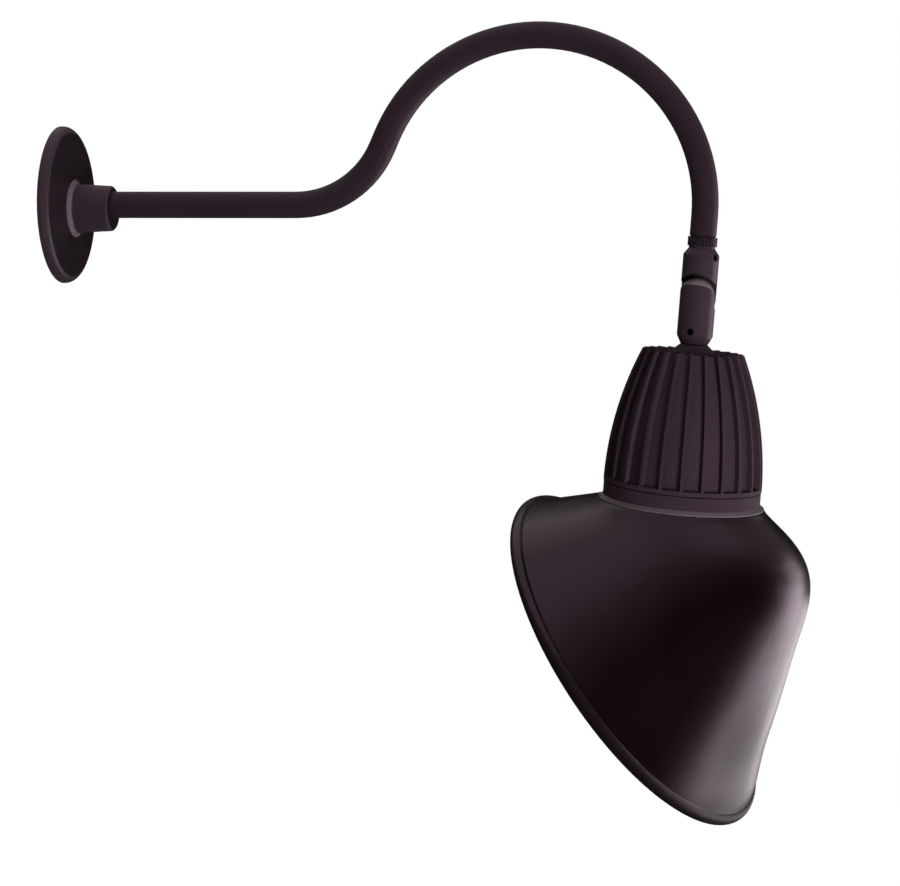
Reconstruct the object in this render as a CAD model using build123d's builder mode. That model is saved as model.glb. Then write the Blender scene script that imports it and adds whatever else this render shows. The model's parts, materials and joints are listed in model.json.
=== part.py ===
from build123d import *
from math import cos, hypot, radians, sin, sqrt, tan
import os

# A gooseneck barn light for an outside wall. Millimetres, +Z up. The origin is the centre of
# the flange's wall face, +X points away from the wall along the arm, and the finned head with
# its angled shade hangs from the end of the hook.

# Fits
running_clearance = 0.06
seat_clearance = 0.05
face_clearance = 0.1
screw_clearance = 0.3

# Wall flange with its hub
flange_diameter = 157.5
flange_edge = 9.0
flange_crown = 12.5
flange_round = 8.5
hub_diameter = 50.4
hub_taper = 3.0
hub_drop = 3.7
hub_reach = 51.0
hub_chamfer = 1.8
hub_fillet = 4.5
recess_lap = 4.0
recess_depth = 3.5
wall_hole_diameter = 7.0
wall_hole_inset = 10.25
wall_hole_count = 4
wall_hole_turn = 52.0
gasket_land = 1.0
gasket_width = 12.0
gasket_thickness = 2.0
hub_screw_diameter = 6.0
hub_screw_setback = 13.0
hub_screw_sink = 0.6
ground_screw_diameter = 4.0
ground_screw_head = 8.0
ground_screw_head_height = 2.4
ground_screw_depth = 5.0
ground_screw_inset = 18.0

# Gooseneck arm
tube_diameter = 26.7
tube_wall = 2.0
arm_straight = 236.0
lower_bend_radius = 95.0
lower_bend_angle = 67.1
bend_link = 10.0
hook_radius = 165.2
end_lean = 4.5
arm_tail = 21.4
tube_end_chamfer = 1.2
insert_setback = 1.4
insert_wall = 2.25

# Swivel between arm and head
head_yaw = 16.3
stub_length = 16.0
nut_overhang = 1.3
nut_height = 9.2
nut_slot_count = 36
nut_slot_width = 1.2
nut_slot_depth = 0.9
neck_setback = 1.5
neck_length = 2.2
knuckle_diameter = 35.8
knuckle_chamfer_length = 6.3
pivot_drop = 57.9
lug_inset = 0.5
lug_gap = 4.3
lap_gap = 0.4
lug_crest_start = 5.0
lug_crest_setback = 1.7
knuckle_bottom_drop = 106.3
knuckle_foot_length = 8.0
knuckle_foot_step = 4.0
spigot_length = 11.0
pivot_bolt_diameter = 8.0
pivot_head_diameter = 13.0
pivot_head_height = 8.0
pivot_head_sink = 1.5
pivot_thread_depth = 11.0
pivot_socket = 6.0
set_screw_diameter = 7.0
set_screw_socket_depth = 2.5
set_screw_sink = 2.6
set_screw_socket = 3.5
upper_set_screw_drop = 20.0
upper_set_screw_turn = -20.0
lower_set_screw_rise = 12.2
lower_set_screw_turn = -90.0

# Heat sink
neck_seal_thickness = 1.0
boss_height = 6.7
boss_flare = 9.3
fin_count = 24
fin_thickness = 3.0
fin_depth = 6.0
fin_top_height = 1.4
fin_top_radius = 50.5
fin_mid_radius = 68.3
fin_mid_drop = 51.5
sink_height = 133.9
sink_radius = 79.0
sink_base_thickness = 4.4
driver_bay_depth = 78.0
plate_seat_depth = 13.5
wire_bore_diameter = 9.0

# Light engine inside the head
plate_diameter = 103.0
plate_thickness = 4.0
plate_land = 7.5
plate_screw_inset = 4.5
plate_screw_diameter = 4.0
plate_screw_depth = 8.0
driver_gap = 3.2
driver_width = 42.0
driver_height = 30.0
driver_corner = 4.0
pad_setback = 3.0
pad_thickness = 0.5
board_diameter = 58.0
board_thickness = 1.6
chip_size = 5.0
chip_height = 0.9
chip_inset = 12.0
chip_count = 8
board_screw_inset = 4.0
board_screw_diameter = 3.0
board_screw_depth = 3.0
reflector_gap = 3.0
reflector_rim_gap = 1.5
reflector_foot_width = 5.0
reflector_wall = 1.2
screw_head_height = 2.0
screw_count = 3

# Lens ring
seam_thickness = 1.0
seam_setback = 1.2
ring_setback = 0.5
ring_height = 17.1
ring_foot_height = 4.2
ring_foot_flare = 4.2
ring_foot_edge = 1.2
ring_wall = 18.5
ring_lip = 9.0
lens_thickness = 4.0
lens_lap = 6.0

# Angled shade
shade_screw_diameter = 5.0
shade_screw_head = 9.0
shade_screw_head_height = 3.0
shade_screw_grip = 4.0
shade_screw_count = 4
shade_wall = 2.0
shade_lip = 0.6
shade_top_round = 4.0
rim_diameter = 366.6
rim_tilt = 49.0
rim_drop = 158.3
rim_offset = 33.0
bead_radius = 6.5
hem_reach = 2.5
back_slope = 42.5
back_flank = 12.6
back_round = 70.0
shade_section_count = 7

os.makedirs("parts", exist_ok=True)


def save(piece, label):
    """Name a finished piece and write it to its own file."""
    piece.part.label = label
    export_step(piece.part, f"parts/{label}.step")


def half_section(plane, *corners):
    """Closed half section drawn from corner points on a plane."""
    with BuildSketch(plane) as section:
        with BuildLine():
            Polyline(*corners, close=True)
        make_face()
    return section.sketch


# Wall flange: a domed disc turned about the arm's axis, which is the X axis here, with a tapered
# hub that is thicker below the arm, where its set screw is
tube_radius = tube_diameter / 2
flange_radius = flange_diameter / 2
wall_hole_ring = flange_radius - wall_hole_inset
gasket_radius = wall_hole_ring - wall_hole_diameter / 2 - gasket_land
gasket_bore = gasket_radius - gasket_width
recess_radius = gasket_bore + recess_lap
ground_screw_offset = recess_radius - ground_screw_inset
hub_radius = hub_diameter / 2
hub_length = hub_reach - recess_depth
crown_radius = hub_radius + hub_drop + 2 * hub_fillet
hub_tip_radius = hub_radius - hub_length * tan(radians(hub_taper))
hub_screw_reach = hub_reach - hub_screw_setback
hub_screw_top = tube_radius + seat_clearance
hub_screw_foot = hub_drop + hub_tip_radius - hub_screw_sink
with BuildPart() as wall_flange:
    with BuildSketch(Plane.XZ) as flange_profile:
        with BuildLine():
            Polyline(
                (0, gasket_radius + seat_clearance),
                (0, flange_radius),
                (flange_edge, flange_radius),
                (flange_crown, crown_radius),
                (flange_crown, 0),
                (recess_depth, 0),
                (recess_depth, recess_radius),
                (gasket_thickness, recess_radius),
                (gasket_thickness, gasket_radius + seat_clearance),
                close=True,
            )
        make_face()
        rim_corner = flange_profile.vertices().sort_by_distance((flange_edge, flange_radius, 0))[0]
        fillet(rim_corner, flange_round)
    revolve(axis=Axis.X)
    hub_profile = half_section(
        Plane((0, 0, -hub_drop), x_dir=(1, 0, 0), z_dir=(0, -1, 0)),
        (recess_depth, 0),
        (recess_depth, hub_radius),
        (hub_reach - hub_chamfer, hub_tip_radius),
        (hub_reach, hub_tip_radius - hub_chamfer),
        (hub_reach, 0),
    )
    revolve(hub_profile, axis=Axis((0, 0, -hub_drop), (1, 0, 0)))
    crown_edges = wall_flange.faces().filter_by(Axis.X).group_by(Axis.X)[-2].edges()
    fillet(crown_edges.sort_by(SortBy.RADIUS)[0], hub_fillet)
    with BuildSketch(Plane.YZ):
        Circle(tube_radius + seat_clearance)
    extrude(amount=hub_reach, mode=Mode.SUBTRACT)
    with BuildSketch(Plane.YZ):
        with PolarLocations(wall_hole_ring, wall_hole_count, start_angle=180 - wall_hole_turn):
            Circle(wall_hole_diameter / 2)
    extrude(amount=flange_crown, mode=Mode.SUBTRACT)
    with BuildSketch(Plane.XY):
        with Locations((hub_screw_reach, 0)):
            Circle(hub_screw_diameter / 2)
    extrude(amount=-hub_diameter, mode=Mode.SUBTRACT)
    with BuildSketch(Plane.YZ):
        with Locations((ground_screw_offset, 0)):
            Circle(ground_screw_diameter / 2)
    extrude(amount=recess_depth + ground_screw_depth, mode=Mode.SUBTRACT)
save(wall_flange, "wall_flange")

with BuildPart() as wall_gasket:
    with BuildSketch(Plane.YZ):
        Circle(gasket_radius)
        Circle(gasket_bore, mode=Mode.SUBTRACT)
    extrude(amount=gasket_thickness)
save(wall_gasket, "wall_gasket")

with BuildPart() as hub_set_screw:
    with BuildSketch(Plane.XY.offset(-hub_screw_top)):
        with Locations((hub_screw_reach, 0)):
            Circle(hub_screw_diameter / 2 - seat_clearance)
    extrude(amount=hub_screw_top - hub_screw_foot)
    with BuildSketch(Plane.XY.offset(-hub_screw_foot)):
        with Locations((hub_screw_reach, 0)):
            RegularPolygon(hub_screw_diameter / 4, 6)
    extrude(amount=hub_screw_diameter / 2, mode=Mode.SUBTRACT)
save(hub_set_screw, "hub_set_screw")

with BuildPart() as ground_screw:
    with BuildSketch(Plane.YZ.offset(recess_depth)):
        with Locations((ground_screw_offset, 0)):
            Circle(ground_screw_diameter / 2 - seat_clearance)
    extrude(amount=ground_screw_depth)
    with BuildSketch(Plane.YZ.offset(recess_depth)):
        with Locations((ground_screw_offset, 0)):
            Circle(ground_screw_head / 2)
    extrude(amount=-ground_screw_head_height)
save(ground_screw, "ground_screw")

# Arm: one tube along a straight run, a lower bend, a short link, the hook and a straight tail
with BuildLine(Plane.XZ) as arm_path:
    run = Line((recess_depth, 0), (arm_straight, 0))
    lower_bend = JernArc(run @ 1, run % 1, lower_bend_radius, lower_bend_angle)
    link = Line(lower_bend @ 1, lower_bend @ 1 + (lower_bend % 1) * bend_link)
    hook = JernArc(link @ 1, link % 1, hook_radius, -(lower_bend_angle + 90 + end_lean))
    tail = Line(hook @ 1, hook @ 1 + (hook % 1) * arm_tail)

with BuildPart() as gooseneck_arm:
    with BuildSketch(Plane.YZ.offset(recess_depth)):
        Circle(tube_radius)
        Circle(tube_radius - tube_wall, mode=Mode.SUBTRACT)
    sweep(path=arm_path.wires()[0])
    end_face = gooseneck_arm.faces().sort_by_distance(tail @ 1)[0]
    chamfer(end_face.outer_wire().edges(), tube_end_chamfer)
save(gooseneck_arm, "gooseneck_arm")

# Head frame: its origin is the arm's end, its Z runs back up the tube, and its X points away
# from the wall, turned by the head's yaw. Drops are measured down from the arm's end.
arm_end = tail @ 1
head_up = (tail % 1) * -1
head_axis = Axis(arm_end, head_up)
arm_outward = Vector(0, 1, 0).cross(head_up)
head = Plane(arm_end, x_dir=arm_outward.rotate(head_axis, -head_yaw), z_dir=head_up)


def spoke_section(turn=0):
    """Plane through the head axis at a turn about it: local X runs out, local Y runs up."""
    outward = head.x_dir.rotate(head_axis, turn)
    return Plane(head.origin, x_dir=outward, z_dir=outward.cross(head.z_dir))


def turned(*corners):
    """Half section about the head axis, from (radius, drop) corners."""
    return half_section(spoke_section(), *[(radius, -drop) for radius, drop in corners])


def level(drop):
    """Plane square to the head axis, a drop below the arm's end, facing up."""
    return head.offset(-drop)


def radial(drop, turn, reach):
    """Plane facing out from the head axis at a drop, at a turn about the axis."""
    outward = head.x_dir.rotate(head_axis, turn)
    centre = head.origin - head.z_dir * drop + outward * reach
    return Plane(centre, x_dir=head.z_dir, z_dir=outward)


plug_radius = tube_radius - tube_wall - seat_clearance
bore_radius = plug_radius - insert_wall
stub_radius = bore_radius - running_clearance
insert_length = arm_tail - insert_setback
with BuildPart() as arm_end_insert:
    revolve(
        turned((bore_radius, 0), (plug_radius, 0), (plug_radius, -insert_length), (bore_radius, -insert_length)),
        axis=head_axis,
    )
save(arm_end_insert, "arm_end_insert")

nut_top = face_clearance
nut_bottom = nut_top + nut_height
nut_radius = tube_radius + nut_overhang
with BuildPart() as lock_nut:
    nut_bore = stub_radius + seat_clearance
    revolve(
        turned((nut_bore, nut_top), (nut_radius, nut_top), (nut_radius, nut_bottom), (nut_bore, nut_bottom)),
        axis=head_axis,
    )
    with BuildSketch(level(nut_bottom)):
        with PolarLocations(nut_radius, nut_slot_count):
            Rectangle(2 * nut_slot_depth, nut_slot_width)
    extrude(amount=nut_height, mode=Mode.SUBTRACT)
save(lock_nut, "lock_nut")

# Swivel: two round halves lapped at the pivot, each with a round lug in the other's hollow
knuckle_radius = knuckle_diameter / 2
neck_radius = nut_radius - neck_setback
lug_radius = knuckle_radius - lug_inset
lug_crest_radius = lug_radius - lug_crest_setback
pivot = head.origin - head.z_dir * pivot_drop
pivot_face = Plane(pivot, x_dir=head.x_dir, z_dir=head.y_dir * -1)
hollow_radius = lug_radius + lug_gap
shoulder_drop = nut_bottom + neck_length
with BuildPart() as swivel_upper:
    revolve(
        turned(
            (0, -stub_length),
            (stub_radius, -stub_length),
            (stub_radius, nut_bottom),
            (neck_radius, nut_bottom),
            (neck_radius, shoulder_drop),
            (knuckle_radius, shoulder_drop + knuckle_chamfer_length),
            (knuckle_radius, pivot_drop + lug_radius),
            (0, pivot_drop + lug_radius),
        ),
        axis=head_axis,
    )
    with BuildSketch(pivot_face.offset(-lap_gap / 2)):
        Circle(hollow_radius)
        with Locations((0, -knuckle_diameter / 2)):
            Rectangle(2 * hollow_radius, knuckle_diameter)
    extrude(amount=knuckle_diameter, mode=Mode.SUBTRACT)
    with BuildSketch(pivot_face):
        with Locations((0, -knuckle_diameter / 2)):
            Rectangle(2 * hollow_radius, knuckle_diameter)
        Circle(lug_radius, mode=Mode.SUBTRACT)
    extrude(amount=knuckle_diameter, both=True, mode=Mode.SUBTRACT)
    with BuildSketch(pivot_face):
        Circle(pivot_bolt_diameter / 2 + running_clearance)
    extrude(amount=-knuckle_diameter, mode=Mode.SUBTRACT)
    with BuildSketch(pivot_face.offset(-knuckle_radius + pivot_head_sink + pivot_head_height)):
        Circle(pivot_head_diameter / 2 + screw_clearance)
    extrude(amount=-knuckle_diameter, mode=Mode.SUBTRACT)
    with BuildSketch(radial(upper_set_screw_drop, upper_set_screw_turn, 0)):
        Circle(set_screw_diameter / 2)
    extrude(amount=knuckle_diameter, mode=Mode.SUBTRACT)
save(swivel_upper, "swivel_upper")

spigot_radius = stub_radius
foot_radius = knuckle_radius - knuckle_foot_step
with BuildPart() as swivel_lower:
    revolve(
        turned(
            (0, pivot_drop - lug_radius),
            (knuckle_radius, pivot_drop - lug_radius),
            (knuckle_radius, knuckle_bottom_drop - knuckle_foot_length),
            (foot_radius, knuckle_bottom_drop),
            (spigot_radius, knuckle_bottom_drop),
            (spigot_radius, knuckle_bottom_drop + spigot_length),
            (0, knuckle_bottom_drop + spigot_length),
        ),
        axis=head_axis,
    )
    with BuildSketch(pivot_face):
        with Locations((0, knuckle_diameter / 2)):
            Rectangle(2 * hollow_radius, knuckle_diameter)
        Circle(lug_radius, mode=Mode.SUBTRACT)
    extrude(amount=knuckle_diameter, both=True, mode=Mode.SUBTRACT)
    with BuildSketch(Plane(pivot, x_dir=pivot_face.z_dir, z_dir=head.z_dir)):
        with Locations((lug_crest_start, lug_radius - lug_crest_radius)):
            Rectangle(knuckle_diameter, 2 * lug_crest_radius, align=(Align.MIN, Align.MIN))
            Circle(lug_crest_radius, mode=Mode.SUBTRACT)
    revolve(axis=Axis(pivot, pivot_face.z_dir), revolution_arc=180, mode=Mode.SUBTRACT)
    with BuildSketch(pivot_face.offset(lap_gap / 2)):
        Circle(hollow_radius)
        with Locations((0, knuckle_diameter / 2)):
            Rectangle(2 * hollow_radius, knuckle_diameter)
    extrude(amount=-knuckle_diameter, mode=Mode.SUBTRACT)
    with BuildSketch(pivot_face):
        Circle(pivot_bolt_diameter / 2)
    extrude(amount=pivot_thread_depth, mode=Mode.SUBTRACT)
    lower_set_screw_drop = knuckle_bottom_drop - lower_set_screw_rise
    with BuildSketch(radial(lower_set_screw_drop, lower_set_screw_turn, 0)):
        Circle(set_screw_diameter / 2)
    extrude(amount=knuckle_diameter, mode=Mode.SUBTRACT)
save(swivel_lower, "swivel_lower")

# Pivot bolt: its head is sunk in the rear of the upper half, its thread ends in the front lug
with BuildPart() as pivot_bolt:
    head_face = pivot_face.offset(-knuckle_radius + pivot_head_sink)
    with BuildSketch(head_face):
        Circle(pivot_head_diameter / 2)
    extrude(amount=pivot_head_height - face_clearance)
    with BuildSketch(head_face):
        Circle(pivot_bolt_diameter / 2 - seat_clearance)
    extrude(amount=knuckle_radius - pivot_head_sink + pivot_thread_depth)
    with BuildSketch(head_face):
        RegularPolygon(pivot_socket / 2, 6, major_radius=False)
    extrude(amount=pivot_head_height / 2, mode=Mode.SUBTRACT)
save(pivot_bolt, "pivot_bolt")


def set_screw(drop, turn):
    """Headless screw with a hex socket, sunk in the knuckle's side at a drop and a turn."""
    tip = radial(drop, turn, 0)
    face = radial(drop, turn, knuckle_radius - set_screw_sink)
    with BuildPart() as screw:
        with BuildSketch(tip):
            Circle(set_screw_diameter / 2 - seat_clearance)
        extrude(amount=knuckle_radius - set_screw_sink)
        with BuildSketch(face):
            RegularPolygon(set_screw_socket / 2, 6, major_radius=False)
        extrude(amount=-set_screw_socket_depth, mode=Mode.SUBTRACT)
    return screw


upper_set_screw = set_screw(upper_set_screw_drop, upper_set_screw_turn)
save(upper_set_screw, "upper_set_screw")
lower_set_screw = set_screw(lower_set_screw_drop, lower_set_screw_turn)
save(lower_set_screw, "lower_set_screw")

seal_top = knuckle_bottom_drop
boss_top = seal_top + neck_seal_thickness
with BuildPart() as neck_seal:
    seal_bore = spigot_radius + seat_clearance
    seal_radius = foot_radius - neck_seal_thickness / 2
    revolve(
        turned((seal_bore, seal_top), (seal_radius, seal_top), (seal_radius, boss_top), (seal_bore, boss_top)),
        axis=head_axis,
    )
save(neck_seal, "neck_seal")

# Heat sink: a turned core with a boss and a base flange, carrying radial fins cut to a barrel
fin_top = boss_top + boss_height
sink_bottom = fin_top + sink_height
base_top = sink_bottom - sink_base_thickness
core_top = fin_top + fin_top_height
boss_radius = foot_radius + boss_flare
spigot_bore = spigot_radius + seat_clearance
spigot_floor = knuckle_bottom_drop + spigot_length + face_clearance
bay_top = sink_bottom - plate_seat_depth - driver_bay_depth
plate_top = sink_bottom - plate_seat_depth
plate_radius = plate_diameter / 2
plate_bore = plate_radius + seat_clearance
bay_radius = plate_radius - plate_land
plate_screw_ring = plate_radius - plate_screw_inset
ring_radius = sink_radius - ring_setback
lens_radius = ring_radius - ring_wall
lens_seat = lens_radius + seat_clearance
shade_screw_ring = (lens_seat + ring_radius) / 2
with BuildPart() as heat_sink:
    with BuildSketch(spoke_section()):
        with BuildLine():
            core_side = ThreePointArc(
                (fin_top_radius - fin_depth, -core_top),
                (fin_mid_radius - fin_depth, -fin_top - fin_mid_drop),
                (sink_radius - fin_depth, -base_top),
            )
            Polyline(
                core_side @ 1,
                (sink_radius, -base_top),
                (sink_radius, -sink_bottom),
                (0, -sink_bottom),
                (0, -boss_top),
                (foot_radius, -boss_top),
                (boss_radius, -core_top),
                core_side @ 0,
            )
        make_face()
    revolve(axis=head_axis)
    for index in range(fin_count):
        with BuildSketch(spoke_section(index * 360 / fin_count)):
            with BuildLine():
                fin_edge = ThreePointArc(
                    (fin_top_radius, -fin_top),
                    (fin_mid_radius, -fin_top - fin_mid_drop),
                    (sink_radius, -base_top),
                )
                Polyline(
                    fin_edge @ 1,
                    (bay_radius, -base_top),
                    (bay_radius, -plate_top),
                    (foot_radius, -core_top),
                    (foot_radius, -fin_top),
                    fin_edge @ 0,
                )
            make_face()
    extrude(amount=fin_thickness / 2, both=True)
    with BuildSketch(level(sink_bottom)):
        Circle(plate_bore)
    extrude(amount=plate_seat_depth, mode=Mode.SUBTRACT)
    with BuildSketch(level(plate_top)):
        Circle(bay_radius)
    extrude(amount=driver_bay_depth, mode=Mode.SUBTRACT)
    with BuildSketch(level(spigot_floor)):
        Circle(spigot_bore)
    extrude(amount=spigot_floor, mode=Mode.SUBTRACT)
    with BuildSketch(level(bay_top)):
        Circle(wire_bore_diameter / 2)
    extrude(amount=bay_top, mode=Mode.SUBTRACT)
    with BuildSketch(level(plate_top)):
        with PolarLocations(plate_screw_ring, screw_count):
            Circle(plate_screw_diameter / 2)
    extrude(amount=plate_screw_depth, mode=Mode.SUBTRACT)
    with BuildSketch(level(sink_bottom)):
        with PolarLocations(shade_screw_ring, shade_screw_count, start_angle=45):
            Circle(shade_screw_diameter / 2)
    extrude(amount=shade_screw_grip, mode=Mode.SUBTRACT)
save(heat_sink, "heat_sink")

# Light engine: driver above a plate, and below it the board with its chips and reflector
plate_bottom = plate_top + plate_thickness
board_radius = board_diameter / 2
board_screw_ring = board_radius - board_screw_inset
driver_length = 2 * sqrt((bay_radius - driver_gap) ** 2 - (driver_width / 2) ** 2)
with BuildPart() as led_plate:
    with BuildSketch(level(plate_bottom)):
        Circle(plate_radius)
        Circle(wire_bore_diameter / 2, mode=Mode.SUBTRACT)
        with PolarLocations(plate_screw_ring, screw_count):
            Circle(plate_screw_diameter / 2, mode=Mode.SUBTRACT)
    extrude(amount=plate_thickness)
    with BuildSketch(level(plate_bottom)):
        with PolarLocations(board_screw_ring, screw_count, start_angle=60):
            Circle(board_screw_diameter / 2)
    extrude(amount=board_screw_depth, mode=Mode.SUBTRACT)
save(led_plate, "led_plate")

with BuildPart() as led_driver:
    with BuildSketch(level(plate_top)):
        RectangleRounded(driver_length, driver_width, driver_corner)
    extrude(amount=driver_height)
save(led_driver, "led_driver")

with BuildPart() as plate_screws:
    with BuildSketch(level(plate_bottom)):
        with PolarLocations(plate_screw_ring, screw_count):
            Circle(plate_screw_diameter / 2 - seat_clearance)
    extrude(amount=plate_thickness + plate_screw_depth - screw_clearance)
    with BuildSketch(level(plate_bottom)):
        with PolarLocations(plate_screw_ring, screw_count):
            Circle(plate_screw_diameter)
    extrude(amount=-screw_head_height)
save(plate_screws, "plate_screws")

pad_bottom = plate_bottom + pad_thickness
with BuildPart() as thermal_pad:
    with BuildSketch(level(pad_bottom)):
        Circle(board_radius - pad_setback)
        with PolarLocations(board_screw_ring, screw_count, start_angle=60):
            Circle(board_screw_diameter / 2 + screw_clearance, mode=Mode.SUBTRACT)
    extrude(amount=pad_thickness)
save(thermal_pad, "thermal_pad")

board_bottom = pad_bottom + board_thickness
with BuildPart() as led_board:
    with BuildSketch(level(board_bottom)):
        Circle(board_radius)
        with PolarLocations(board_screw_ring, screw_count, start_angle=60):
            Circle(board_screw_diameter / 2, mode=Mode.SUBTRACT)
    extrude(amount=board_thickness)
save(led_board, "led_board")

with BuildPart() as led_chips:
    with BuildSketch(level(board_bottom)):
        with PolarLocations(board_radius - chip_inset, chip_count):
            Rectangle(chip_size, chip_size)
    extrude(amount=-chip_height)
save(led_chips, "led_chips")

with BuildPart() as board_screws:
    with BuildSketch(level(board_bottom)):
        with PolarLocations(board_screw_ring, screw_count, start_angle=60):
            Circle(board_screw_diameter / 2 - seat_clearance)
    extrude(amount=board_thickness + pad_thickness + board_screw_depth - screw_clearance)
    with BuildSketch(level(board_bottom)):
        with PolarLocations(board_screw_ring, screw_count, start_angle=60):
            Circle(board_screw_diameter)
    extrude(amount=-screw_head_height)
save(board_screws, "board_screws")

# Lens ring below the seam: the lens drops into it and is sealed against the heat sink
seam_bottom = sink_bottom + seam_thickness
ring_bottom = seam_bottom + ring_height
lens_bottom = ring_bottom - ring_lip
lens_top = lens_bottom - lens_thickness
foot = board_radius + reflector_gap
mouth = plate_radius - reflector_rim_gap
with BuildPart() as reflector:
    revolve(
        turned(
            (foot, plate_bottom),
            (foot + reflector_foot_width, plate_bottom),
            (foot + reflector_foot_width, plate_bottom + reflector_wall),
            (foot + reflector_wall, plate_bottom + reflector_wall),
            (mouth, lens_top - screw_clearance),
            (mouth - reflector_wall, lens_top - screw_clearance),
            (foot, plate_bottom + reflector_wall),
        ),
        axis=head_axis,
    )
save(reflector, "reflector")

with BuildPart() as ring_gasket:
    inner, outer = lens_seat, ring_radius - seam_setback
    revolve(
        turned((inner, sink_bottom), (outer, sink_bottom), (outer, seam_bottom), (inner, seam_bottom)),
        axis=head_axis,
    )
    with BuildSketch(level(seam_bottom)):
        with PolarLocations(shade_screw_ring, shade_screw_count, start_angle=45):
            Circle(shade_screw_diameter / 2 + screw_clearance)
    extrude(amount=seam_thickness, mode=Mode.SUBTRACT)
save(ring_gasket, "ring_gasket")

ring_foot_radius = ring_radius + ring_foot_flare
with BuildPart() as lens_ring:
    ring_mouth = lens_radius - lens_lap
    revolve(
        turned(
            (lens_seat, seam_bottom),
            (ring_radius, seam_bottom),
            (ring_radius, ring_bottom - ring_foot_height),
            (ring_foot_radius, ring_bottom - ring_foot_edge),
            (ring_foot_radius, ring_bottom),
            (ring_mouth, ring_bottom),
            (ring_mouth, lens_bottom),
            (lens_seat, lens_bottom),
        ),
        axis=head_axis,
    )
    with BuildSketch(level(ring_bottom)):
        with PolarLocations(shade_screw_ring, shade_screw_count, start_angle=45):
            Circle(shade_screw_diameter / 2 + screw_clearance)
    extrude(amount=ring_height, mode=Mode.SUBTRACT)
save(lens_ring, "lens_ring")

with BuildPart() as lens:
    with BuildSketch(level(lens_bottom)):
        Circle(lens_radius)
    extrude(amount=lens_thickness)
save(lens, "lens")

with BuildPart() as lens_gasket:
    with BuildSketch(level(lens_top)):
        Circle(lens_radius)
        Circle(lens_radius - lens_lap, mode=Mode.SUBTRACT)
    extrude(amount=lens_top - sink_bottom)
save(lens_gasket, "lens_gasket")

# Shade: sections fan from the round top to the tilted rim. In the plane that halves it, the
# front runs straight to the rim and the back drops off the top, rounds over and runs to the rim.
shade_top = ring_bottom
rim_radius = rim_diameter / 2
hem_radius = rim_radius + hem_reach
top_radius = ring_foot_radius + shade_lip
halving = spoke_section(180)
rim_along = Vector(cos(radians(rim_tilt)), sin(radians(rim_tilt)))
rim_centre = Vector(rim_offset, -shade_top - rim_drop)
rim_front = rim_centre + rim_along * hem_radius
rim_back = rim_centre - rim_along * hem_radius
top_front = Vector(top_radius, -shade_top)
top_back = Vector(-top_radius, -shade_top)
flank_lean = tan(radians(back_flank))
slope = tan(radians(back_slope))
rise_to_top = -shade_top - rim_back.Y
back_reach = (-top_radius - rim_back.X + rise_to_top * flank_lean) / (1 + slope * flank_lean)
back_corner = top_back - Vector(back_reach, back_reach * slope)
front_run = (rim_front - top_front).normalized()
slope_run = (back_corner - top_back).normalized()
flank_run = (rim_back - back_corner).normalized()
front_inward = Vector(front_run.Y, -front_run.X)
slope_inward = Vector(-slope_run.Y, slope_run.X)
flank_inward = Vector(-flank_run.Y, flank_run.X)
corner_inward = (slope_inward + flank_inward) / (1 + slope_inward.dot(flank_inward))
side_run = hem_radius - top_radius
side_inset = hypot(side_run, rim_drop) / rim_drop


def below_top(run, inward):
    """Step from the top's edge to the inner line, where that line meets the inner top."""
    return inward - run * ((1 + inward.Y) / run.Y)


def shade_form(inset):
    """The shade's outer form, or its hollow when moved in by a wall, as a row of ellipses."""
    front_start = top_front + below_top(front_run, front_inward) * inset
    front_end = rim_front + front_inward * inset
    back_start = top_back + below_top(slope_run, slope_inward) * inset
    back_middle = back_corner + corner_inward * inset
    back_end = rim_back + flank_inward * inset
    with BuildLine(halving) as front_line:
        Line((front_start.X, front_start.Y), (front_end.X, front_end.Y))
    with BuildLine(halving) as back_line:
        FilletPolyline(
            (back_start.X, back_start.Y),
            (back_middle.X, back_middle.Y),
            (back_end.X, back_end.Y),
            radius=back_round - inset,
        )
    front_wire = front_line.wires()[0]
    back_wire = back_line.wires()[0]
    sections = []
    for index in range(shade_section_count + 1):
        front_point = front_wire @ (index / shade_section_count)
        back_point = back_wire @ (index / shade_section_count)
        centre = (front_point + back_point) / 2
        across = front_point - back_point
        depth = (head.to_local_coords(centre).Z + shade_top) / -rim_drop
        half_width = top_radius + side_run * depth - side_inset * inset
        with BuildSketch(Plane(centre, x_dir=across, z_dir=across.cross(halving.z_dir) * -1)) as section:
            Ellipse(across.length / 2, half_width)
        sections.append(section.sketch)
    return sections


rim_plane = Plane(
    halving.from_local_coords(rim_centre),
    x_dir=halving.x_dir * rim_along.X + halving.y_dir * rim_along.Y,
    z_dir=halving.x_dir * -rim_along.Y + halving.y_dir * rim_along.X,
)
with BuildPart() as shade:
    loft(shade_form(0))
    fillet(shade.faces().sort_by(head_axis)[-1].edges(), shade_top_round)
    loft(shade_form(shade_wall), mode=Mode.SUBTRACT)
    with BuildSketch(Plane(rim_plane.origin, x_dir=rim_plane.x_dir, z_dir=halving.z_dir)):
        with Locations((rim_radius, 0)):
            Circle(bead_radius)
    revolve(axis=Axis(rim_plane.origin, rim_plane.z_dir))
    with BuildSketch(level(shade_top)):
        Circle(lens_radius)
        with PolarLocations(shade_screw_ring, shade_screw_count, start_angle=45):
            Circle(shade_screw_diameter / 2 + screw_clearance)
    extrude(amount=-2 * shade_wall, mode=Mode.SUBTRACT)
save(shade, "shade")

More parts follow.
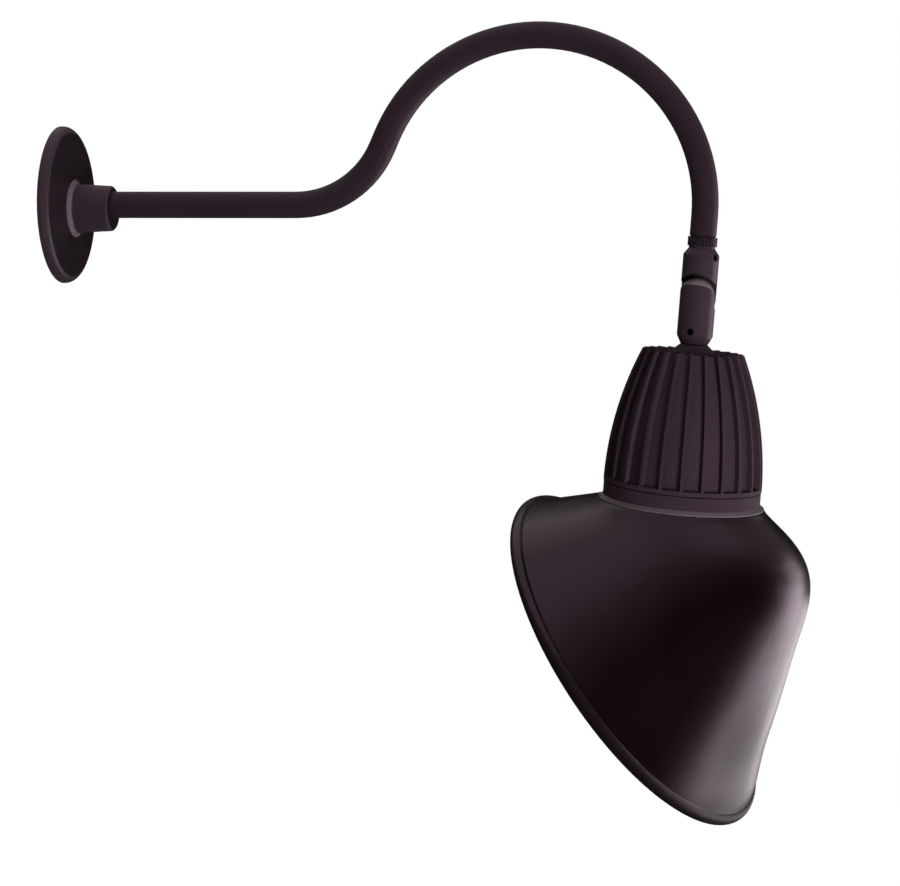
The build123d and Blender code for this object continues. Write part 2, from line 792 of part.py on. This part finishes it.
with BuildPart() as shade_screws:
    with BuildSketch(level(shade_top + shade_wall)):
        with PolarLocations(shade_screw_ring, shade_screw_count, start_angle=45):
            Circle(shade_screw_diameter / 2 - seat_clearance)
    extrude(amount=shade_wall + ring_height + seam_thickness + shade_screw_grip - screw_clearance)
    with BuildSketch(level(shade_top + shade_wall)):
        with PolarLocations(shade_screw_ring, shade_screw_count, start_angle=45):
            Circle(shade_screw_head / 2)
    extrude(amount=-shade_screw_head_height)
save(shade_screws, "shade_screws")
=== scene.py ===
import json
import math
import bmesh
import bpy
from mathutils import Matrix, Vector

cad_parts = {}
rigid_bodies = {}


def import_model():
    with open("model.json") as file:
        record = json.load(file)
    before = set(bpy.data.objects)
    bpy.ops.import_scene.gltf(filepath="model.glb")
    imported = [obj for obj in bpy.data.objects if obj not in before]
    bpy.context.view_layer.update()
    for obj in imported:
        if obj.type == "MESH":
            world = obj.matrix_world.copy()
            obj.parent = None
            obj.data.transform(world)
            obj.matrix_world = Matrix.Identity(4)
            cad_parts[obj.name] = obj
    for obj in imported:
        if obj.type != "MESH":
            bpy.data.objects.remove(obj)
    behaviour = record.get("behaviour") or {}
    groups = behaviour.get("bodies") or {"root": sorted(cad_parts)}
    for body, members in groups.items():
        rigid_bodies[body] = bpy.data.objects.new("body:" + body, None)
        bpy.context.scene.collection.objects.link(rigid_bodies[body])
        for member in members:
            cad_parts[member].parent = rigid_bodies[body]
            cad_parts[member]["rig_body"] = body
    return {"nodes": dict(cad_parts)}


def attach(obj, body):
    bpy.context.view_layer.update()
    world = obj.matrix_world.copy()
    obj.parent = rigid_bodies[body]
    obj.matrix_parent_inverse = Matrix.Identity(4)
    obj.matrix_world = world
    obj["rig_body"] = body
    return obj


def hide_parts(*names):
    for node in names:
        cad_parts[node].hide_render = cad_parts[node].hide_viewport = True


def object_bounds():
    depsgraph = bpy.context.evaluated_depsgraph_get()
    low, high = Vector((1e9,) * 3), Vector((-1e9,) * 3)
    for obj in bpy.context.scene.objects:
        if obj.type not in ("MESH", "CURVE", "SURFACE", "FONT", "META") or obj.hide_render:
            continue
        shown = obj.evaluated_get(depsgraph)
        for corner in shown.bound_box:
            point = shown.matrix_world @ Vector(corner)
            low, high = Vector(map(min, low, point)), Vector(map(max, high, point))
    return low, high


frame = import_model()
cad_low, cad_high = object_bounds()


# Wall flange: a die-cast aluminium disc with a tapered hub, screwed flat to the wall. Castings of
# this light are sprayed with dark bronze powder and baked, which leaves a fine pebbled skin. The
# flat face and the hub's end get a darker, smoother coat, whose darkness is painted shade, and the
# hub's fillet is painted pale, a painted highlight.
def finished_node(node, slot, *finishes):
    """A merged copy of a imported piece, smooth but for hard edges, in the first of its finishes."""
    source = frame["nodes"][node]
    merge_distance = 2e-6
    hard_edge = math.radians(32)
    shell = bmesh.new()
    shell.from_mesh(source.data)
    bmesh.ops.remove_doubles(shell, verts=shell.verts[:], dist=merge_distance)
    for face in shell.faces:
        face.smooth = True
        face.material_index = 0
    for edge in shell.edges:
        edge.smooth = edge.calc_face_angle(math.pi) < hard_edge
    mesh = bpy.data.meshes.new(f"{node}_finished")
    shell.to_mesh(mesh)
    shell.free()
    for finish in finishes:
        mesh.materials.append(finish)
    piece = bpy.data.objects.new(f"{node}_finished", mesh)
    bpy.context.scene.collection.objects.link(piece)
    evened = piece.modifiers.new("evened_normals", "WEIGHTED_NORMAL")
    evened.keep_sharp = True
    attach(piece, source["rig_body"])
    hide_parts(node)
    return piece


def bronze_powder_coat(name, dark, light, gloss_level, rough_low, rough_high, grain, depth):
    """Baked dark bronze powder: tone and gloss drift slowly, and a fine pebble lies all over."""
    gloss_tint = (1, 0.8, 0.93, 1)
    drift_low, drift_high = 0.2, 0.8
    material = bpy.data.materials.new(name)
    material.use_nodes = True
    nodes = material.node_tree.nodes
    link = material.node_tree.links.new
    shader = nodes["Principled BSDF"]
    shader.inputs["Specular IOR Level"].default_value = gloss_level
    shader.inputs["Specular Tint"].default_value = gloss_tint
    place = nodes.new("ShaderNodeTexCoord")
    drift = nodes.new("ShaderNodeTexNoise")
    drift.inputs["Scale"].default_value = 14
    drift.inputs["Detail"].default_value = 4
    link(place.outputs["Object"], drift.inputs["Vector"])
    tone = nodes.new("ShaderNodeValToRGB")
    tone.color_ramp.elements[0].position = drift_low
    tone.color_ramp.elements[0].color = (*dark, 1)
    tone.color_ramp.elements[1].position = drift_high
    tone.color_ramp.elements[1].color = (*light, 1)
    link(drift.outputs["Fac"], tone.inputs["Fac"])
    link(tone.outputs["Color"], shader.inputs["Base Color"])
    gloss = nodes.new("ShaderNodeMapRange")
    gloss.inputs["From Min"].default_value = drift_low
    gloss.inputs["From Max"].default_value = drift_high
    gloss.inputs["To Min"].default_value = rough_low
    gloss.inputs["To Max"].default_value = rough_high
    link(drift.outputs["Fac"], gloss.inputs["Value"])
    link(gloss.outputs["Result"], shader.inputs["Roughness"])
    pebble = nodes.new("ShaderNodeTexNoise")
    pebble.inputs["Scale"].default_value = grain
    pebble.inputs["Detail"].default_value = 2
    link(place.outputs["Object"], pebble.inputs["Vector"])
    skin = nodes.new("ShaderNodeBump")
    skin.inputs["Strength"].default_value = 0.5
    skin.inputs["Distance"].default_value = depth
    link(pebble.outputs["Fac"], skin.inputs["Height"])
    link(skin.outputs["Normal"], shader.inputs["Normal"])
    return material


cast_bronze = bronze_powder_coat(
    "cast_bronze", dark=(0.0265, 0.0155, 0.023), light=(0.0355, 0.0215, 0.0315),
    gloss_level=0.32, rough_low=0.4, rough_high=0.54, grain=900, depth=0.00006,
)
# Painted shade: a darker coat for the flange's flat face and the hub's end.
field_shade_bronze = bronze_powder_coat(
    "field_shade_bronze", dark=(0.008, 0.0044, 0.0069), light=(0.0122, 0.007, 0.0105),
    gloss_level=0.5, rough_low=0.3, rough_high=0.38, grain=900, depth=0.00004,
)
# Painted highlight: a pale coat for the hub's fillet and the outer faces of the lens ring's foot.
painted_highlight_bronze = bronze_powder_coat(
    "painted_highlight_bronze", dark=(0.1, 0.08, 0.093), light=(0.125, 0.101, 0.117),
    gloss_level=0.2, rough_low=0.55, rough_high=0.65, grain=900, depth=0.00004,
)
wall_flange = finished_node("wall_flange", "bronze_cast", cast_bronze, field_shade_bronze, painted_highlight_bronze)
field_shade_finish, fillet_highlight_finish = 1, 2
hub_drop = 0.0037
fillet_reach, fillet_end = 0.0297, 0.018
# A lean is the share of a face's normal along the axis: 1 is square to it, 0 runs beside it.
fillet_lean, field_lean = 0.15, 0.97
# Faces by the hub's fillet get the painted highlight, and the flat face and hub end the painted
# shade.
for face in wall_flange.data.polygons:
    from_hub = math.hypot(face.center.y, face.center.z + hub_drop)
    by_fillet = from_hub < fillet_reach and face.center.x < fillet_end
    if by_fillet and face.normal.x > fillet_lean:
        face.material_index = fillet_highlight_finish
    elif face.normal.x > field_lean:
        face.material_index = field_shade_finish


# Wall gasket: a flat ring of black sponge rubber, cut from sheet and pressed between flange and
# wall to keep rain out.
def soft_rubber(name, colour, pore_scale):
    """Dull black rubber with shallow, darker pores."""
    pore_shade = 0.4
    material = bpy.data.materials.new(name)
    material.use_nodes = True
    nodes = material.node_tree.nodes
    link = material.node_tree.links.new
    shader = nodes["Principled BSDF"]
    shader.inputs["Roughness"].default_value = 0.85
    shader.inputs["Specular IOR Level"].default_value = 0.1
    place = nodes.new("ShaderNodeTexCoord")
    pores = nodes.new("ShaderNodeTexVoronoi")
    pores.inputs["Scale"].default_value = pore_scale
    link(place.outputs["Object"], pores.inputs["Vector"])
    tone = nodes.new("ShaderNodeValToRGB")
    tone.color_ramp.elements[0].color = (*[pore_shade * channel for channel in colour], 1)
    tone.color_ramp.elements[1].position = 0.5
    tone.color_ramp.elements[1].color = (*colour, 1)
    link(pores.outputs["Distance"], tone.inputs["Fac"])
    link(tone.outputs["Color"], shader.inputs["Base Color"])
    relief = nodes.new("ShaderNodeBump")
    relief.inputs["Strength"].default_value = 0.4
    relief.inputs["Distance"].default_value = 0.0002
    link(pores.outputs["Distance"], relief.inputs["Height"])
    link(relief.outputs["Normal"], shader.inputs["Normal"])
    return material


sponge_rubber = soft_rubber("sponge_rubber", colour=(0.02, 0.02, 0.021), pore_scale=700)
finished_node("wall_gasket", "black_rubber", sponge_rubber)


# Set screws and pivot bolt: black oxidised alloy steel with hex sockets, sunk below the surface of
# the castings that they lock.
def plain_metal(name, colour, rough_low, rough_high, mark_scale):
    """Machined or plated metal with fine marks in its tone and gloss."""
    mark_shade = 0.8
    material = bpy.data.materials.new(name)
    material.use_nodes = True
    nodes = material.node_tree.nodes
    link = material.node_tree.links.new
    shader = nodes["Principled BSDF"]
    shader.inputs["Metallic"].default_value = 1
    place = nodes.new("ShaderNodeTexCoord")
    marks = nodes.new("ShaderNodeTexNoise")
    marks.inputs["Scale"].default_value = mark_scale
    marks.inputs["Detail"].default_value = 3
    link(place.outputs["Object"], marks.inputs["Vector"])
    tone = nodes.new("ShaderNodeValToRGB")
    tone.color_ramp.elements[0].color = (*[mark_shade * channel for channel in colour], 1)
    tone.color_ramp.elements[1].color = (*colour, 1)
    link(marks.outputs["Fac"], tone.inputs["Fac"])
    link(tone.outputs["Color"], shader.inputs["Base Color"])
    gloss = nodes.new("ShaderNodeMapRange")
    gloss.inputs["To Min"].default_value = rough_low
    gloss.inputs["To Max"].default_value = rough_high
    link(marks.outputs["Fac"], gloss.inputs["Value"])
    link(gloss.outputs["Result"], shader.inputs["Roughness"])
    return material


black_oxide = plain_metal(
    "black_oxide", colour=(0.025, 0.023, 0.024), rough_low=0.35, rough_high=0.55, mark_scale=600
)
for node in ("hub_set_screw", "upper_set_screw", "lower_set_screw", "pivot_bolt"):
    finished_node(node, "black_screw", black_oxide)

# Earth screw: a zinc-plated steel screw in the recess at the flange's back, driven into the casting
# to hold the earth lead.
bright_zinc = plain_metal(
    "bright_zinc", colour=(0.62, 0.62, 0.63), rough_low=0.28, rough_high=0.42, mark_scale=500
)
finished_node("ground_screw", "bright_screw", bright_zinc)

# Arm: one length of aluminium pipe, bent cold on round formers, coated like the castings but
# smoother, because the drawn pipe has no cast skin.
tube_bronze = bronze_powder_coat(
    "tube_bronze", dark=(0.0196, 0.0106, 0.0166), light=(0.0224, 0.0125, 0.019),
    gloss_level=0.3, rough_low=0.5, rough_high=0.6, grain=1300, depth=0.00003,
)
finished_node("gooseneck_arm", "bronze_tube", tube_bronze)

# Sleeve inside the arm's end: turned from bare aluminium and pressed into the pipe. The head turns
# in it.
bare_aluminium = plain_metal(
    "bare_aluminium", colour=(0.72, 0.72, 0.73), rough_low=0.3, rough_high=0.45, mark_scale=400
)
finished_node("arm_end_insert", "bare_aluminium", bare_aluminium)

# Swivel: a slotted lock nut under the arm's end, and two cast half-lapped knuckle halves that
# tilt about the pivot bolt. The nut's grooves are painted near black, a painted shade, and the
# upward faces of the lower half's crest, where the upper half passes over it, are painted pale, a
# painted highlight.

# Places, in metres, and directions of the imported part at rest.
pivot = Vector((0.638053, 0, -0.089055))
pivot_front = Vector((-0.279802, -0.959805, 0.022021))
arm_end = Vector((0.642595, 0, -0.031334))
swivel_up = Vector((0.078459, 0, 0.996917))


def reach_from_axis(point):
    """How far a point lies from the line through the arm's end, on which nut and head stand."""
    return (point - arm_end).cross(swivel_up).length


# Painted shade: a near-black coat for the recessed faces of the nut's grooves.
groove_shade_bronze = bronze_powder_coat(
    "groove_shade_bronze", dark=(0.003, 0.0013, 0.0022), light=(0.0045, 0.0022, 0.0034),
    gloss_level=0.05, rough_low=0.7, rough_high=0.8, grain=900, depth=0.00006,
)
lock_nut = finished_node("lock_nut", "bronze_cast", cast_bronze, groove_shade_bronze)
groove_shade_finish = 1
groove_reach, groove_lean = 0.0143, 0.5
# Upright faces close to the axis, inside the grooves, get the painted shade.
for face in lock_nut.data.polygons:
    upright = abs(face.normal.dot(swivel_up)) < groove_lean
    if upright and reach_from_axis(face.center) < groove_reach:
        face.material_index = groove_shade_finish

finished_node("swivel_upper", "bronze_cast", cast_bronze)

# Painted highlight: a pale coat for the upward faces of the lower half's crest.
crest_highlight_bronze = bronze_powder_coat(
    "crest_highlight_bronze", dark=(0.14, 0.118, 0.129), light=(0.175, 0.15, 0.163),
    gloss_level=0.4, rough_low=0.4, rough_high=0.5, grain=900, depth=0.00004,
)
swivel_lower = finished_node("swivel_lower", "bronze_cast", cast_bronze, crest_highlight_bronze)
crest_highlight_finish = 1
crest_start, crest_lean = 0.005, 0.2
# Upward faces on the front of the crest, above the pivot, get the painted highlight.
for face in swivel_lower.data.polygons:
    from_pivot = face.center - pivot
    by_crest = from_pivot.dot(pivot_front) > crest_start and from_pivot.dot(swivel_up) > 0
    if by_crest and face.normal.dot(swivel_up) > crest_lean:
        face.material_index = crest_highlight_finish

# Neck seal: a thin moulded rubber washer, squeezed between the knuckle's foot and the boss of the
# heat sink.
moulded_rubber = soft_rubber("moulded_rubber", colour=(0.004, 0.0035, 0.0038), pore_scale=1500)
finished_node("neck_seal", "black_rubber", moulded_rubber)

# Heat sink: one aluminium casting, with thin radial fins on a barrel-shaped core that holds the
# driver, and a solid ring at its base.
sink_bronze = bronze_powder_coat(
    "sink_bronze", dark=(0.0314, 0.0188, 0.0274), light=(0.0426, 0.026, 0.0379),
    gloss_level=0.14, rough_low=0.64, rough_high=0.8, grain=700, depth=0.00008,
)
finished_node("heat_sink", "bronze_cast", sink_bronze)

# Plate that closes the driver's bay: a bare aluminium disc, screwed up into the heat sink, which
# also spreads the board's heat.
finished_node("led_plate", "bare_aluminium", bare_aluminium)

# Screws of the plate, the board and the shade: zinc-plated steel machine screws, driven up from
# below.
for node in ("plate_screws", "board_screws", "shade_screws"):
    finished_node(node, "bright_screw", bright_zinc)


# Driver: a moulded grey plastic case, filled with resin, that stands on the plate inside the heat
# sink.
def moulded_plastic(name, dark, light, roughness):
    """A matt moulded or sprayed surface with a fine grain."""
    material = bpy.data.materials.new(name)
    material.use_nodes = True
    nodes = material.node_tree.nodes
    link = material.node_tree.links.new
    shader = nodes["Principled BSDF"]
    shader.inputs["Roughness"].default_value = roughness
    place = nodes.new("ShaderNodeTexCoord")
    grain = nodes.new("ShaderNodeTexNoise")
    grain.inputs["Scale"].default_value = 1600
    grain.inputs["Detail"].default_value = 2
    link(place.outputs["Object"], grain.inputs["Vector"])
    tone = nodes.new("ShaderNodeValToRGB")
    tone.color_ramp.elements[0].color = (*dark, 1)
    tone.color_ramp.elements[1].color = (*light, 1)
    link(grain.outputs["Fac"], tone.inputs["Fac"])
    link(tone.outputs["Color"], shader.inputs["Base Color"])
    relief = nodes.new("ShaderNodeBump")
    relief.inputs["Strength"].default_value = 0.3
    relief.inputs["Distance"].default_value = 0.00004
    link(grain.outputs["Fac"], relief.inputs["Height"])
    link(relief.outputs["Normal"], shader.inputs["Normal"])
    return material


driver_grey = moulded_plastic(
    "driver_grey", dark=(0.3, 0.3, 0.31), light=(0.36, 0.36, 0.37), roughness=0.6
)
finished_node("led_driver", "driver_case", driver_grey)

# Light engine: a white circuit board on a grey thermal pad, with square light-emitting chips under
# yellow phosphor, inside a bright reflector cone. Board and pad are screwed to the plate.
pad_grey = moulded_plastic(
    "pad_grey", dark=(0.3, 0.32, 0.38), light=(0.36, 0.38, 0.44), roughness=0.8
)
finished_node("thermal_pad", "thermal_pad", pad_grey)
solder_mask_white = moulded_plastic(
    "solder_mask_white", dark=(0.8, 0.8, 0.78), light=(0.86, 0.86, 0.84), roughness=0.35
)
finished_node("led_board", "white_board", solder_mask_white)
phosphor_yellow = moulded_plastic(
    "phosphor_yellow", dark=(0.72, 0.5, 0.06), light=(0.85, 0.64, 0.1), roughness=0.5
)
finished_node("led_chips", "led_phosphor", phosphor_yellow)
vacuum_metallised = plain_metal(
    "vacuum_metallised", colour=(0.85, 0.85, 0.86), rough_low=0.08, rough_high=0.16, mark_scale=300
)
finished_node("reflector", "reflector", vacuum_metallised)

# Lens ring with its gaskets: a cast ring that presses the lens up against the heat sink, with a
# dark rubber seam above it. The outward faces of the ring's foot, against the shade, are painted
# pale, a painted highlight.
for node in ("ring_gasket", "lens_gasket"):
    finished_node(node, "black_rubber", moulded_rubber)
lens_ring = finished_node("lens_ring", "bronze_cast", sink_bronze, painted_highlight_bronze)
foot_highlight_finish = 1
foot_reach, foot_lean = 0.0787, -0.5
# Outward faces at the foot's outer edge get the painted highlight.
for face in lens_ring.data.polygons:
    turned_out = face.normal.dot(swivel_up) > foot_lean
    if turned_out and reach_from_axis(face.center) > foot_reach:
        face.material_index = foot_highlight_finish


# Lens: a flat disc of tempered glass, lightly frosted to spread the light, and held up by the lens
# ring.
def frosted_glass(name):
    """Pale glass with a light frost that varies a little over the disc."""
    material = bpy.data.materials.new(name)
    material.use_nodes = True
    nodes = material.node_tree.nodes
    link = material.node_tree.links.new
    shader = nodes["Principled BSDF"]
    shader.inputs["Base Color"].default_value = (0.93, 0.95, 0.95, 1)
    shader.inputs["Transmission Weight"].default_value = 1
    shader.inputs["IOR"].default_value = 1.5
    place = nodes.new("ShaderNodeTexCoord")
    frost = nodes.new("ShaderNodeTexNoise")
    frost.inputs["Scale"].default_value = 60
    frost.inputs["Detail"].default_value = 5
    link(place.outputs["Object"], frost.inputs["Vector"])
    haze = nodes.new("ShaderNodeMapRange")
    haze.inputs["To Min"].default_value = 0.1
    haze.inputs["To Max"].default_value = 0.2
    link(frost.outputs["Fac"], haze.inputs["Value"])
    link(haze.outputs["Result"], shader.inputs["Roughness"])
    return material


finished_node("lens", "lens_glass", frosted_glass("frosted_glass"))

# Shade: spun aluminium sheet, cut at an angle and rolled over a wire at its rim. The outside is
# dark bronze and smoother than the castings, and the inside is white to throw the light down. The
# rolled edge is duller, except along its top.
sheet_bronze = bronze_powder_coat(
    "sheet_bronze", dark=(0.0028, 0.0007, 0.0017), light=(0.0038, 0.0011, 0.0024),
    gloss_level=0.45, rough_low=0.28, rough_high=0.33, grain=1500, depth=0.000012,
)
white_enamel = moulded_plastic(
    "white_enamel", dark=(0.74, 0.74, 0.72), light=(0.8, 0.8, 0.78), roughness=0.34
)
bead_bronze = bronze_powder_coat(
    "bead_bronze", dark=(0.0055, 0.0029, 0.0046), light=(0.0068, 0.0036, 0.0057),
    gloss_level=0.25, rough_low=0.52, rough_high=0.6, grain=1500, depth=0.00002,
)
shade = finished_node("shade", "bronze_sheet", sheet_bronze, white_enamel, bead_bronze)
outer_finish, inner_finish, bead_finish = 0, 1, 2
rim_centre = Vector((0.577729, 0.009262, -0.451841))
rim_normal = Vector((0.773615, -0.211822, 0.597203))
rim_radius = 0.1833
bead_reach, bead_top_lean = 0.0068, 0.5
hollow_middle = Vector((0.63, 0, -0.4))
for face in shade.data.polygons:
    from_rim = face.center - rim_centre
    rise = from_rim.dot(rim_normal)
    across = (from_rim - rim_normal * rise).length - rim_radius
    inward = face.normal.dot(hollow_middle - face.center) > 0
    if math.hypot(rise, across) <= bead_reach:
        face.material_index = outer_finish if face.normal.z > bead_top_lean else bead_finish
    elif inward:
        face.material_index = inner_finish


# Studio: a wide pale floor well below the light and a white room. Some soft boxes give the coat its
# tone, and others, to the right, only its gloss. Cards from black to grey show in the gloss alone
# and keep the dark coat dark.
def seen_rays(tree):
    """1 for what the camera, mirrors and glass see, 0 for what lights the rest."""
    paths = tree.nodes.new("ShaderNodeLightPath")
    mirrors = tree.nodes.new("ShaderNodeMath")
    mirrors.operation = "MAXIMUM"
    tree.links.new(paths.outputs["Is Camera Ray"], mirrors.inputs[0])
    tree.links.new(paths.outputs["Is Glossy Ray"], mirrors.inputs[1])
    seen = tree.nodes.new("ShaderNodeMath")
    seen.operation = "MAXIMUM"
    tree.links.new(mirrors.outputs["Value"], seen.inputs[0])
    tree.links.new(paths.outputs["Is Transmission Ray"], seen.inputs[1])
    return seen.outputs["Value"]


room_fill, room_white = 0.14, 1
room = bpy.data.worlds.new("white_room")
room.use_nodes = True
bpy.context.scene.world = room
room_link = room.node_tree.links.new
room_light = room.node_tree.nodes["Background"]
room_light.inputs["Color"].default_value = (1, 1, 1, 1)
room_level = room.node_tree.nodes.new("ShaderNodeMapRange")
room_level.inputs["To Min"].default_value = room_fill
room_level.inputs["To Max"].default_value = room_white
room_link(seen_rays(room.node_tree), room_level.inputs["Value"])
room_link(room_level.outputs["Result"], room_light.inputs["Strength"])

floor_depth, floor_size = 2.0, 60
floor_middle = (0.4, 0, cad_low.z - floor_depth)
floor_paint_colour = (0.9, 0.9, 0.9, 1)
floor_white = 0.87
floor_shell = bmesh.new()
bmesh.ops.create_grid(
    floor_shell, x_segments=1, y_segments=1, size=floor_size,
    matrix=Matrix.Translation(floor_middle),
)
floor_mesh = bpy.data.meshes.new("floor")
floor_shell.to_mesh(floor_mesh)
floor_shell.free()
floor = bpy.data.objects.new("floor", floor_mesh)
bpy.context.scene.collection.objects.link(floor)
floor_paint = bpy.data.materials.new("floor_paint")
floor_paint.use_nodes = True
floor_link = floor_paint.node_tree.links.new
floor_shader = floor_paint.node_tree.nodes["Principled BSDF"]
floor_shader.inputs["Base Color"].default_value = floor_paint_colour
floor_shader.inputs["Roughness"].default_value = 1
floor_shader.inputs["Specular IOR Level"].default_value = 0
floor_shader.inputs["Emission Color"].default_value = (1, 1, 1, 1)
floor_glow = floor_paint.node_tree.nodes.new("ShaderNodeMapRange")
floor_glow.inputs["To Min"].default_value = 0
floor_glow.inputs["To Max"].default_value = floor_white
floor_link(seen_rays(floor_paint.node_tree), floor_glow.inputs["Value"])
floor_link(floor_glow.outputs["Result"], floor_shader.inputs["Emission Strength"])
floor_mesh.materials.append(floor_paint)


def soft_box(name, place, aim, width, height, radiance, lights_tone=True, lights_gloss=True):
    """A rectangular lamp of even brightness, turned to face a point."""
    lamp = bpy.data.lights.new(name, "AREA")
    lamp.shape = "RECTANGLE"
    lamp.size = width
    lamp.size_y = height
    lamp.energy = radiance * math.pi * width * height
    stand = bpy.data.objects.new(name, lamp)
    stand.location = place
    stand.rotation_euler = (Vector(aim) - Vector(place)).to_track_quat("-Z", "Y").to_euler()
    stand.visible_camera = False
    stand.visible_diffuse = lights_tone
    stand.visible_glossy = lights_gloss
    bpy.context.scene.collection.objects.link(stand)
    return lamp


for name, place, aim, width, height, radiance in (
    ("low_key", (1.84, -2.14, -0.78), (0.5, 0, -0.15), 0.9, 0.9, 25),
    ("overhead", (0.4, -0.4, 2.2), (0.4, -0.2, 0), 4.0, 3.5, 0.6),
    ("back_fill", (-0.2, 2.6, 0.5), (0.4, 0, -0.2), 1.2, 1.2, 7),
    ("inner_fill", (-0.7, 1.83, -1.7), (0.6, 0, -0.4), 1.2, 1.2, 8),
):
    soft_box(name, place, aim, width, height, radiance, lights_gloss=False)

gloss_lamp_tint = (1, 0.87, 0.94)
for name, place, aim, width, height, radiance in (
    ("right_strip", (2.323, 0.639, -0.832), (0.793, -0.031, -0.302), 1.0, 0.99, 3.8),
    ("right_sweep", (1.777, 1.388, -1.092), (0.777, -0.012, -0.342), 1.0, 0.465, 1.6),
    ("shoulder_strip", (2.47, 0.98, 0.03), (0.78, -0.03, -0.36), 1.05, 0.74, 2.1),
    ("foot_strip", (1.72, -0.06, -1.11), (0.66, -0.15, -0.55), 0.36, 0.32, 1.7),
):
    gloss_lamp = soft_box(name, place, aim, width, height, radiance, lights_tone=False)
    gloss_lamp.color = gloss_lamp_tint


def studio_card(name, place, aim, width, height, low, low_grey, high, high_grey):
    """A card outside the picture, graded between two heights, that shows in gloss alone."""
    card_tint = (1, 0.82, 0.93, 1)
    shell = bmesh.new()
    bmesh.ops.create_grid(shell, x_segments=1, y_segments=1, size=0.5)
    bmesh.ops.scale(shell, vec=(width, height, 1), verts=shell.verts[:])
    turn = (Vector(aim) - Vector(place)).to_track_quat("Z", "Y").to_matrix().to_4x4()
    bmesh.ops.transform(shell, matrix=Matrix.Translation(place) @ turn, verts=shell.verts[:])
    mesh = bpy.data.meshes.new(name)
    shell.to_mesh(mesh)
    shell.free()
    card = bpy.data.objects.new(name, mesh)
    bpy.context.scene.collection.objects.link(card)
    card.visible_camera = False
    card.visible_diffuse = False
    card.visible_transmission = False
    card.visible_shadow = False
    felt = bpy.data.materials.new(name)
    felt.use_nodes = True
    nodes = felt.node_tree.nodes
    link = felt.node_tree.links.new
    shader = nodes["Principled BSDF"]
    shader.inputs["Base Color"].default_value = (0, 0, 0, 1)
    shader.inputs["Roughness"].default_value = 1
    shader.inputs["Specular IOR Level"].default_value = 0
    shader.inputs["Emission Color"].default_value = card_tint
    spot = nodes.new("ShaderNodeTexCoord")
    spot_height = nodes.new("ShaderNodeSeparateXYZ")
    grade = nodes.new("ShaderNodeMapRange")
    grade.inputs["From Min"].default_value = low
    grade.inputs["From Max"].default_value = high
    grade.inputs["To Min"].default_value = low_grey
    grade.inputs["To Max"].default_value = high_grey
    link(spot.outputs["Object"], spot_height.inputs["Vector"])
    link(spot_height.outputs["Z"], grade.inputs["Value"])
    link(grade.outputs["Result"], shader.inputs["Emission Strength"])
    mesh.materials.append(felt)


for name, place, aim, width, height, low, low_grey, high, high_grey in (
    ("front_card", (0.3, -2.2, 0.95), (0.3, 0, 0.95), 6.6, 4.5, 0.2, 0.01, 3.2, 0.65),
    ("floor_flag", (1.8, -1.31, -1.2), (1.8, -1.31, 0), 1.1, 1.82, -1.2, 0.06, 0, 0.06),
    ("right_card", (2.35, -1.18, 0.4), (0.7, -0.05, 0.4), 2.24, 3.4, 0.2, 0.01, 2.1, 0.3),
    ("left_card", (-2.6, 0.2, 0.7), (0.6, 0.2, 0.7), 5.0, 4.0, -1.3, 0.02, 2.7, 0.3),
    ("right_high_card", (2.75, 1.0, 1.2), (0.7, 0, 0.4), 3.4, 2.6, 0.1, 0.08, 2.6, 0.5),
    ("back_card", (0, 3.2, 0.6), (0, 0, 0.6), 8.0, 3.8, 0.3, 0, 2.5, 0.3),
    ("under_card", (-0.7, 0, -1.2), (-0.7, 0, 0), 3.9, 6.4, -1.2, 0.06, 0, 0.06),
    ("ceiling_card", (0.4, 0, 3.2), (0.4, 0, 0), 8.0, 6.4, 3, 0.8, 4, 0.8),
):
    studio_card(name, place, aim, width, height, low, low_grey, high, high_grey)

# Camera: a long lens level with the arm and in front of the head, looking along the wall. The lens
# is shifted, because the picture is cut off-centre.
eye = bpy.data.cameras.new("camera")
eye.sensor_width = 36
eye.lens = 74.4885
eye.shift_x = -0.15
eye.shift_y = -0.15
camera = bpy.data.objects.new("camera", eye)
camera.location = (0.61973, -1.84899, -0.00994)
camera.rotation_euler = (math.radians(87.1436), math.radians(-0.041), math.radians(2.9119))
bpy.context.scene.collection.objects.link(camera)
bpy.context.scene.camera = camera
bpy.context.scene.view_settings.view_transform = "Standard"
